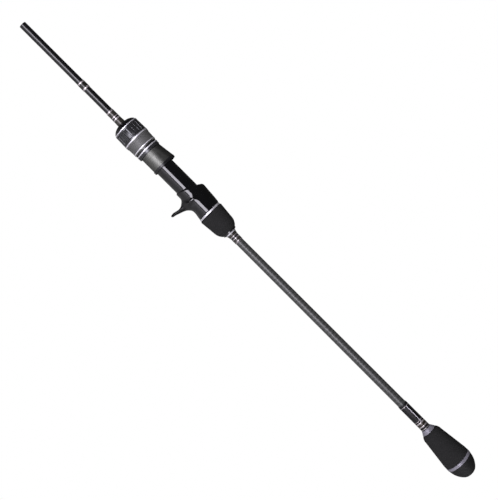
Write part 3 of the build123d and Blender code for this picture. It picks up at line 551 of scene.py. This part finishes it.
# %% Foam and rubber
foam, tree, shader = new_paint("ground_foam", (0.022, 0.022, 0.022), 0.92)
cells = use(tree, foam_cells)
# Painted shade: the base colour is darker in the pit of each cut cell. The larger patches are a random tone.
shade = maths(tree, "MULTIPLY_ADD", cells["Patch"], 0.5, maths(tree, "MULTIPLY", cells["Height"], 0.5))
mixed_base(tree, shader, shade, (0.0074, 0.0075, 0.0073), (0.0146, 0.0147, 0.0142))
shader.inputs["Specular IOR Level"].default_value = 0.25
bump(tree, shader, cells["Height"], 0.00016)

rubber, tree, shader = new_paint("butt_rubber", (0.012, 0.012, 0.012), 0.62)
cells = use(tree, foam_cells, Cells_per_metre=5200.0)
shade = maths(tree, "MULTIPLY_ADD", cells["Patch"], 0.8, 0.1)
mixed_base(tree, shader, shade, (0.0035, 0.0035, 0.0035), (0.008, 0.008, 0.008))
shader.inputs["Specular IOR Level"].default_value = 0.3
bump(tree, shader, cells["Height"], 0.00005)
print("materials:", foam.name, rubber.name)

# %% [markdown]
# ### Thread under epoxy
# Each band of thread is coloured, with painted glints turn by turn and painted shade in the grooves, and
# lies under a smooth coat of epoxy. The coat keeps its own flat surface while the thread below it is ridged.


# %% Thread materials
def thread_paint(name, dark, bright, metallic, roughness=0.35, pitch=0.00026, coat=0.5):
    """Wound thread whose colour goes from dark, painted shade in the grooves, to bright, a painted glint on a
    turn.
    """
    paint, tree, shader = new_paint(name, dark, roughness, metallic, coat, 0.16)
    turns = use(tree, thread_turns, Pitch=pitch)
    # Painted glints and painted shade: the base colour is dark in the grooves and bright where a turn glints.
    share = maths(tree, "MULTIPLY_ADD", turns["Glint"], 1.5, -0.15)
    mixed_base(tree, shader, share, dark, bright)
    bump(tree, shader, turns["Height"], 0.00003)
    return paint


thread_paints = {
    "olive_thread": thread_paint("olive_thread", (0.005, 0.005, 0.0038), (0.022, 0.022, 0.016), 0.2),
    "bronze_thread": thread_paint("bronze_thread", (0.02, 0.018, 0.015), (0.075, 0.068, 0.056), 0.5),
    "silver_thread": thread_paint("silver_thread", (0.32, 0.29, 0.29), (0.8, 0.75, 0.75), 0.7),
    "black_thread": thread_paint("black_thread", (0.003, 0.003, 0.0034), (0.009, 0.009, 0.01), 0.1),
    "gold_thread": thread_paint("gold_thread", (0.022, 0.0175, 0.0125), (0.068, 0.055, 0.042), 0.6),
}
print("thread materials:", sorted(thread_paints))

# %% [markdown]
# ### The label sleeve's line
# The black sleeve before the butt has a thin silver-coloured line painted along each side, a set height
# above the rod's axis. Only the line is made. The thread below is flooded with black resin, so it barely
# shows.

# %% Label sleeve
ring_places = list(circles("label_rings"))
line_start, line_end = ring_places[1], ring_places[2] + 0.0052
label_black, tree, shader = new_paint("label_sleeve_black", (0.003, 0.003, 0.0034), 0.55)
shader.inputs["Specular IOR Level"].default_value = 0.32
LINE_HEIGHT = 0.0016
LINE_WIDTH = 0.0006
place = add(tree, "SeparateXYZ", {0: add(tree, "TexCoord").outputs["Object"]}).outputs
past_start = maths(tree, "GREATER_THAN", place["X"], line_start)
before_end = maths(tree, "LESS_THAN", place["X"], line_end)
on_height = maths(tree, "COMPARE", place["Z"], LINE_HEIGHT, LINE_WIDTH / 2)
on_line = maths(tree, "MULTIPLY", maths(tree, "MULTIPLY", past_start, before_end), on_height)
mixed_base(tree, shader, on_line, (0.003, 0.003, 0.0034), (0.78, 0.76, 0.81))
tree.links.new(maths(tree, "MULTIPLY", on_line, 0.6), shader.inputs["Metallic"])
turns = use(tree, thread_turns)
bump(tree, shader, turns["Height"], 0.000008)
print("silver line from x = %.4f to %.4f" % (line_start, line_end))

# %% [markdown]
# ### Blank
# In front of the seat the blank is painted near black and polished. Behind it the bare tape shows: satin
# grey with crossed diamonds. The two finishes meet under the reel seat, where nobody sees the change.

# %% Blank material
SEAT_MIDDLE = 0.0
carbon, tree, shader = new_paint("carbon_blank", (0.01, 0.01, 0.011), 0.3, coat=0.25, coat_roughness=0.25)
at = use(tree, rod_place)
rear = maths(tree, "GREATER_THAN", at["Along"], SEAT_MIDDLE)
tape = use(tree, crossed_tape)
tape_colour = mix_colour(tree, tape["Tone"], (0.03, 0.0312, 0.0295), (0.075, 0.0768, 0.0725))
mixed_base(tree, shader, rear, (0.003, 0.003, 0.0034), tape_colour)
tree.links.new(maths(tree, "MULTIPLY_ADD", rear, 0.16, 0.28), shader.inputs["Roughness"])
tree.links.new(maths(tree, "MULTIPLY", rear, 0.35), shader.inputs["Metallic"])
bump(tree, shader, maths(tree, "MULTIPLY", tape["Height"], rear), 0.00002)
print("finishes meet at x =", SEAT_MIDDLE)

# %% [markdown]
# ## Blank tube
# Carbon cloth is rolled round a tapered steel mandrel and cured, so the blank is straight between a few
# stations. The smooth copy takes those stations from the frame and gets extra ones between them.

# %% Blank tube
blank_rings = {x: rs for x, rs in circles("blank", False).items() if rs[1] - rs[0] > 0.5 * MM}
outer = [(x, high) for x, (low, high) in blank_rings.items()]
inner = [(x, low) for x, (low, high) in blank_rings.items()]
BLANK_STEP = 0.004


def filled(points, step):
    """The points with more of them between, no further apart than step."""
    out = []
    for (x0, r0), (x1, r1) in zip(points, points[1:]):
        count = max(1, int((x1 - x0) / step))
        out += [(x0 + (x1 - x0) * k / count, r0 + (r1 - r0) * k / count) for k in range(count)]
    return out + [points[-1]]


blank = lathe("blank_tube", [filled(outer, BLANK_STEP) + list(reversed(inner))], sharp=40)
dress(blank, "rod", "carbon_blank", carbon, "blank")
print("blank stations:", [(round(x, 4), round(r, 5)) for x, r in outer])

# %% [markdown]
# ## Thread wraps
# A wrap is thread wound on the blank in bands of colour, then coated with epoxy on a turning motor. The
# epoxy rounds every edge, so each band's corners are rounded more than a machined part's would be.


# %% Wraps
def wound_copy(node, slot, paint, corner=0.00012):
    """The bands of a wound CAD node again, each with its outer corners rounded."""
    rings = list(circles(node).items())
    outlines = []
    for (x0, (in0, out0)), (x1, (in1, out1)) in zip(rings[::2], rings[1::2]):
        outlines.append(rounded([(x0, in0), (x1, in1), (x1, out1), (x0, out0)], corner))
    piece = lathe(node + "_wound", outlines, sharp=50)
    dress(piece, "rod", slot, paint, node)
    return piece


WOUND_ENDINGS = ("_thread", "_trims", "_wrap_black", "_gold_band", "label_rings")
wound = 0
for part in frame["record"]["subparts"]:
    if part["node"].endswith(WOUND_ENDINGS):
        wound_copy(part["node"], part["material_slot"], thread_paints[part["material_slot"]])
        wound += 1
wound_copy("label_sleeve", "black_thread", label_black)
print("wound pieces:", wound + 1)

# %% [markdown]
# ## Nut grip sleeve
# The locking nut's gripping sleeve carries twenty raised panels, so that wet fingers can turn it. One
# panel is modelled, and a node group repeats it round the rod.


# %% Geometry nodes: repeat round the rod
def geometry_group(name, inputs):
    """A geometry node group with one geometry going in and out, and the other named inputs."""
    tree = bpy.data.node_groups.new(name, "GeometryNodeTree")
    tree.interface.new_socket("Geometry", in_out="INPUT", socket_type="NodeSocketGeometry")
    for key, kind in inputs.items():
        tree.interface.new_socket(key, in_out="INPUT", socket_type=kind)
    tree.interface.new_socket("Geometry", in_out="OUTPUT", socket_type="NodeSocketGeometry")
    return tree


repeat_round = geometry_group("repeat_round", {
    "Count": "NodeSocketInt", "First Angle": "NodeSocketFloat", "Material": "NodeSocketMaterial"})
node = repeat_round.nodes.new
wire = repeat_round.links.new
start, end = node("NodeGroupInput").outputs, node("NodeGroupOutput").inputs
points, index = node("GeometryNodePoints"), node("GeometryNodeInputIndex")
wire(start["Count"], points.inputs["Count"])
step = node("ShaderNodeMath")
step.operation = "DIVIDE"
step.inputs[0].default_value = 2 * pi
wire(start["Count"], step.inputs[1])
turn_by = node("ShaderNodeMath")
turn_by.operation = "MULTIPLY_ADD"
wire(index.outputs[0], turn_by.inputs[0])
wire(step.outputs[0], turn_by.inputs[1])
wire(start["First Angle"], turn_by.inputs[2])
spin = node("ShaderNodeCombineXYZ")
wire(turn_by.outputs[0], spin.inputs["X"])
copies = node("GeometryNodeInstanceOnPoints")
wire(points.outputs[0], copies.inputs["Points"])
wire(start["Geometry"], copies.inputs["Instance"])
wire(spin.outputs[0], copies.inputs["Rotation"])
real = node("GeometryNodeRealizeInstances")
wire(copies.outputs[0], real.inputs[0])
painted = node("GeometryNodeSetMaterial")
wire(real.outputs[0], painted.inputs["Geometry"])
wire(start["Material"], painted.inputs["Material"])
wire(painted.outputs[0], end["Geometry"])


def repeated(piece, count, first_angle, paint):
    """A mesh of count copies of piece round the rod, the first turned by first_angle."""
    modifier = piece.modifiers.new("repeat", "NODES")
    modifier.node_group = repeat_round
    values = {"Count": count, "First Angle": first_angle, "Material": paint}
    for item in repeat_round.interface.items_tree:
        if item.in_out == "INPUT" and item.name in values:
            modifier[item.identifier] = values[item.name]
    shown = piece.evaluated_get(bpy.context.evaluated_depsgraph_get())
    mesh = bpy.data.meshes.new_from_object(shown)
    piece.modifiers.remove(modifier)
    bpy.data.objects.remove(piece)
    return mesh


print("group", repeat_round.name)

# %% [markdown]
# The panel is a thin flat-topped plate, so each one mirrors its own part of the room and the sleeve shows
# as facets. Its rim is lower than its middle, so the light rolls off its edge.


# %% Grip sleeve and knurled ring
SUNK = 0.97


def panel(name, x0, x1, r_low, r_top0, r_top1, half_angle, edge, across=6):
    """A raised flat-topped plate on a sleeve from x0 to x1, centred on +Y, its edges rounded by edge.

    Its floor lies at SUNK times its lowest radius, so it stands inside the sleeve."""
    build = bmesh.new()
    stations = [(x0, 0.0), (x0 + edge * 0.3, 0.6), (x0 + edge, 1.0)]
    stations += [(x1 - edge, 1.0), (x1 - edge * 0.3, 0.6), (x1, 0.0)]
    side = edge / r_top0
    sides = [(-half_angle, 0.0), (-half_angle + side * 0.3, 0.6), (-half_angle + side, 1.0)]
    inside = half_angle - side
    sides += [(-inside + 2 * inside * k / across, 1.0) for k in range(1, across)]
    sides += [(half_angle - side, 1.0), (half_angle - side * 0.3, 0.6), (half_angle, 0.0)]
    rows = []
    for x, x_share in stations:
        top = r_top0 + (r_top1 - r_top0) * (x - x0) / (x1 - x0)
        row = []
        for angle, share in sides:
            flat = top * cos(half_angle) / cos(angle)
            r = r_low + (flat - r_low) * min(x_share, share)
            row.append(build.verts.new((x, r * cos(angle), r * sin(angle))))
        rows.append(row)
    floor_corners = (rows[0][0], rows[0][-1], rows[-1][0], rows[-1][-1])
    p, q, s, t = [build.verts.new((v.co.x, v.co.y * SUNK, v.co.z * SUNK)) for v in floor_corners]
    for a, b in zip(rows, rows[1:]):
        for i in range(len(a) - 1):
            build.faces.new((a[i], a[i + 1], b[i + 1], b[i]))
    build.faces.new((p, s, t, q))
    build.faces.new([*rows[0], q, p])
    build.faces.new([*rows[-1], t, s])
    build.faces.new([row[0] for row in rows] + [s, p])
    build.faces.new([row[-1] for row in rows] + [t, q])
    bmesh.ops.recalc_face_normals(build, faces=build.faces)
    return mesh_object(name, build, 50)


def joined(name, meshes, sharp=50):
    """Several meshes as one object."""
    build = bmesh.new()
    for mesh in meshes:
        build.from_mesh(mesh)
    return mesh_object(name, build, sharp)


PANELS = 20
PANEL_START = radians(3)
GROOVE = 0.0008
PANEL_DEPTH = 0.0005
SLEEVE_RIM = 0.0016
rings = circles("nut_ribbed_sleeve")
sleeve_low, sleeve_high = min(rings), max(rings)
bore_r = rings[sleeve_low][0]
front_r, rear_r = rings[sleeve_low][1], rings[sleeve_high][1]
panel_low, panel_high = sleeve_low + SLEEVE_RIM, sleeve_high - SLEEVE_RIM
low_r = front_r - PANEL_DEPTH
outline = [
    (sleeve_low, bore_r), (sleeve_high, bore_r), (sleeve_high, rear_r), (panel_high, rear_r - 0.00005),
    (panel_high - 0.0003, low_r), (panel_low + 0.0003, low_r), (panel_low, front_r), (sleeve_low, front_r)]
core = lathe("sleeve_core", [rounded(outline, 0.00012, 2)])
half_panel = pi / PANELS - GROOVE / 2 / front_r
one_panel = panel("panel", panel_low, panel_high, low_r - 0.0001, front_r, rear_r, half_panel, 0.00035)
first = PANEL_START + pi / PANELS
panels = repeated(one_panel, PANELS, first, satin_dark)
grip_sleeve = joined("nut_grip_sleeve", [core.data, panels])
bpy.data.objects.remove(core)
dress(grip_sleeve, "nut", "nut_coated_black", satin_dark, "nut_ribbed_sleeve")
print("grip sleeve:", PANELS, "panels,", len(grip_sleeve.data.polygons), "faces")

KNURLS = 40
low, high, knurl_r = span("nut_knurled_ring")
bore_r = min(r for r, _ in circles("nut_knurled_ring").values())
KNURL_DEPTH = 0.0003
root_r = knurl_r - KNURL_DEPTH
ring = lathe("knurl_core", [[(low, bore_r), (high, bore_r), (high, root_r), (low, root_r)]])
tooth = panel("tooth", low, high, knurl_r - 0.00035, knurl_r, knurl_r, pi / KNURLS * 0.62, 0.0001, 3)
teeth = repeated(tooth, KNURLS, 0.0, gunmetal)
knurled = joined("nut_knurled_teeth", [ring.data, teeth])
bpy.data.objects.remove(ring)
dress(knurled, "nut", "gunmetal", gunmetal, "nut_knurled_ring")
print("knurled ring:", KNURLS, "teeth")

# %% [markdown]
# ## Reel seat body
# The seat is one moulding, and a mould maker rounds every inside corner so that the plastic flows. The
# trigger root gets a wide blend and the other edges a narrow one. The frame's node is cut into even cells,
# laid back on its own surface, and then smoothed only near the edges that a mould would round. The thread
# and the keyway stay sharp, because the nut and the hood's key slide there.

# %% Seat body: even cells
CELL = 0.00048
seat_node = frame["nodes"]["seat_body"]
build = bmesh.new()
build.from_mesh(seat_node.data)
build.transform(seat_node.matrix_world)
bmesh.ops.remove_doubles(build, verts=build.verts, dist=0.000002)
surface = BVHTree.FromBMesh(build)
barrel_r = circles("hood_slider", False)[min(circles("hood_slider", False))][0]

ROOT_TOP, ROOT_FOOT = -0.006, -0.0155
ROOT_FRONT, ROOT_REAR = 0.012, 0.038
KEYWAY_END = -0.0195
soft_points, firm_points = [], []
for edge in build.edges:
    if len(edge.link_faces) != 2 or edge.calc_face_angle() < radians(18):
        continue
    middle = (edge.verts[0].co + edge.verts[1].co) / 2
    r = hypot(middle.y, middle.z)
    if middle.x < KEYWAY_END or r < barrel_r - 0.0004:
        continue
    at_root = ROOT_TOP > middle.z > ROOT_FOOT and ROOT_FRONT < middle.x < ROOT_REAR
    count = max(1, int(edge.calc_length() / CELL))
    line = [edge.verts[0].co.lerp(edge.verts[1].co, k / count) for k in range(count + 1)]
    (soft_points if at_root else firm_points).extend(line)

cells = mesh_object("seat_cells", build)
cut = cells.modifiers.new("cells", "REMESH")
cut.mode = "VOXEL"
cut.voxel_size = CELL
even = bpy.data.meshes.new_from_object(cells.evaluated_get(bpy.context.evaluated_depsgraph_get()))
bpy.data.objects.remove(cells)
print("even cells:", len(even.polygons), "- edge points:", len(soft_points), "and", len(firm_points))

# %% [markdown]
# Each corner of the cells slides towards the average of its neighbours, as a filleting tool would drag it.
# How far depends on how near the closest marked edge is.

# %% Seat body: blends
ROOT_REACH, ROOT_ROUNDS = 0.0042, 70
EDGE_REACH, EDGE_ROUNDS = 0.0013, 14


def nearness(places, marks, reach):
    """1 beside a marked point, falling smoothly to 0 at reach from it."""
    tree = KDTree(len(marks))
    for i, mark in enumerate(marks):
        tree.insert(mark, i)
    tree.balance()
    away = np.array([tree.find(place)[2] for place in places]) / reach
    share = np.clip(1.4 * (1 - away), 0, 1)
    return share * share * (3 - 2 * share)


def smoothed(places, pairs, share, rounds):
    """The places after sliding towards their neighbours' average, each by its share."""
    ends = np.concatenate([pairs[:, 0], pairs[:, 1]])
    others = np.concatenate([pairs[:, 1], pairs[:, 0]])
    degree = np.bincount(ends, minlength=len(places))[:, None]
    for _ in range(rounds):
        total = np.stack([np.bincount(ends, places[others, k], len(places)) for k in range(3)], axis=1)
        places = places + 0.5 * share[:, None] * (total / degree - places)
    return places


laid = [surface.find_nearest(vertex.co)[0] for vertex in even.vertices]
pairs = np.empty(len(even.edges) * 2, dtype=np.int32)
even.edges.foreach_get("vertices", pairs)
pairs = pairs.reshape(-1, 2)
places = np.array(laid)
places = smoothed(places, pairs, nearness(laid, firm_points, EDGE_REACH), EDGE_ROUNDS)
places = smoothed(places, pairs, nearness(laid, soft_points, ROOT_REACH), ROOT_ROUNDS)
print("blended corners:", len(places))

# %% [markdown]
# A soft crest runs up each side of the body from the trigger, where its front and rear faces meet. It
# leans with the trigger, is highest below the rod's axis, and breaks the bright line where it ends.

# %% Seat body: crest and finish
CREST_X, CREST_LEAN = 0.0253, 0.115
CREST_HEIGHT, CREST_HALF = 0.0021, 0.0046
CREST_TOP, CREST_FULL = 0.0015, -0.006
CREST_CURVE, FOOT_FADE = 1.3, 0.005
off_crest = np.abs(places[:, 0] - CREST_X - CREST_LEAN * places[:, 2]) / CREST_HALF
rise = np.clip(1 - off_crest, 0, 1) ** CREST_CURVE
fade = np.clip((CREST_TOP - places[:, 2]) / (CREST_TOP - CREST_FULL), 0, 1)
fade *= np.clip((places[:, 2] - ROOT_FOOT) / FOOT_FADE, 0, 1)
outside = np.hypot(places[:, 1], places[:, 2]) > barrel_r + 0.0004
places[:, 1] += np.sign(places[:, 1]) * CREST_HEIGHT * rise * fade * outside
even.vertices.foreach_set("co", places.ravel())
even.update()
build = bmesh.new()
build.from_mesh(even)
bmesh.ops.recalc_face_normals(build, faces=build.faces)
seat = mesh_object("seat_moulding", build, 60)
dress(seat, "rod", "seat_gloss_black", gloss_black, "seat_body")
print("seat moulding:", 2 * len(seat.data.polygons), "triangles")

# %% [markdown]
# ## The remaining pieces
# The other nodes already have the right shape, so they keep it and only get their finishes.

# %% Paint on the frame's own nodes
paint_node(gloss_black, "nut_front_cap", "grip_check")
paint_node(moulded_black, "hood_slider", "fixed_hood_insert", "seat_arbors", "nut_core", "thrust_washer",
           "butt_plug")
paint_node(gunmetal, "hood_shell")
paint_node(silver, "nut_front_ring", "nut_middle_ring", "nut_rear_ring", "nut_tail_ring", "seat_ring",
           "grip_winding_check")
paint_node(check_silver, "butt_winding_check", "butt_ring")
paint_node(graphite, "nut_plain_sleeve")
paint_node(satin_dark, "nut_retainer")
paint_node(foam, "rear_seat_grip", "butt_grip")
paint_node(rubber, "butt_cap")
print("painted:", sum(1 for n in frame["nodes"].values() if n.data.materials))

# %% [markdown]
# ## Last look
# The new surfaces must not reach outside the model's box, so the largest difference between the two boxes is
# printed.

# %% Sizes
visual_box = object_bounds()
off = max(abs(a - b) for c, v in zip(cad_box, visual_box) for a, b in zip(c, v))
print("box kept to %.4f mm" % (off / MM))
